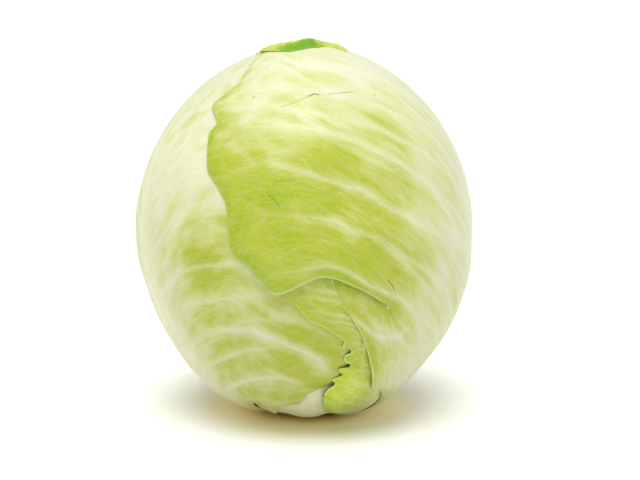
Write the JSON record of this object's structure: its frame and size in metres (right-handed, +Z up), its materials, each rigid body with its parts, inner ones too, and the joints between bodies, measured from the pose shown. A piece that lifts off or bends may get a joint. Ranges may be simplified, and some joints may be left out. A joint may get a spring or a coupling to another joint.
{
  "type": "cabbage head",
  "caption": "Head of white cabbage standing on its cut stalk, a round ball of tightly packed leaves in overlapping pale green wrapper leaves, one of them torn.",
  "frame": {"origin": "centre of the flat cut face under the stalk, on the surface the head stands on", "axes": "+Z up through the crown, -Y towards the front, where the torn wrapper leaf shows, +X to the viewer's right"},
  "size_m": [0.1591, 0.1672, 0.1793],
  "materials": {
    "heart_leaf": "satin",
    "cut_stalk": "satin",
    "pale_leaf": "satin",
    "green_leaf": "satin"
  },
  "bodies": {
    "root": {"heart": "heart_leaf", "stalk_butt": "cut_stalk", "front_inner_leaf": "pale_leaf", "left_wrapper_leaf": "pale_leaf", "lower_front_leaf": "green_leaf", "right_wrapper_leaf": "green_leaf", "crown_leaf": "green_leaf", "back_left_leaf": "green_leaf", "back_right_leaf": "green_leaf"}
  },
  "joints": []
}
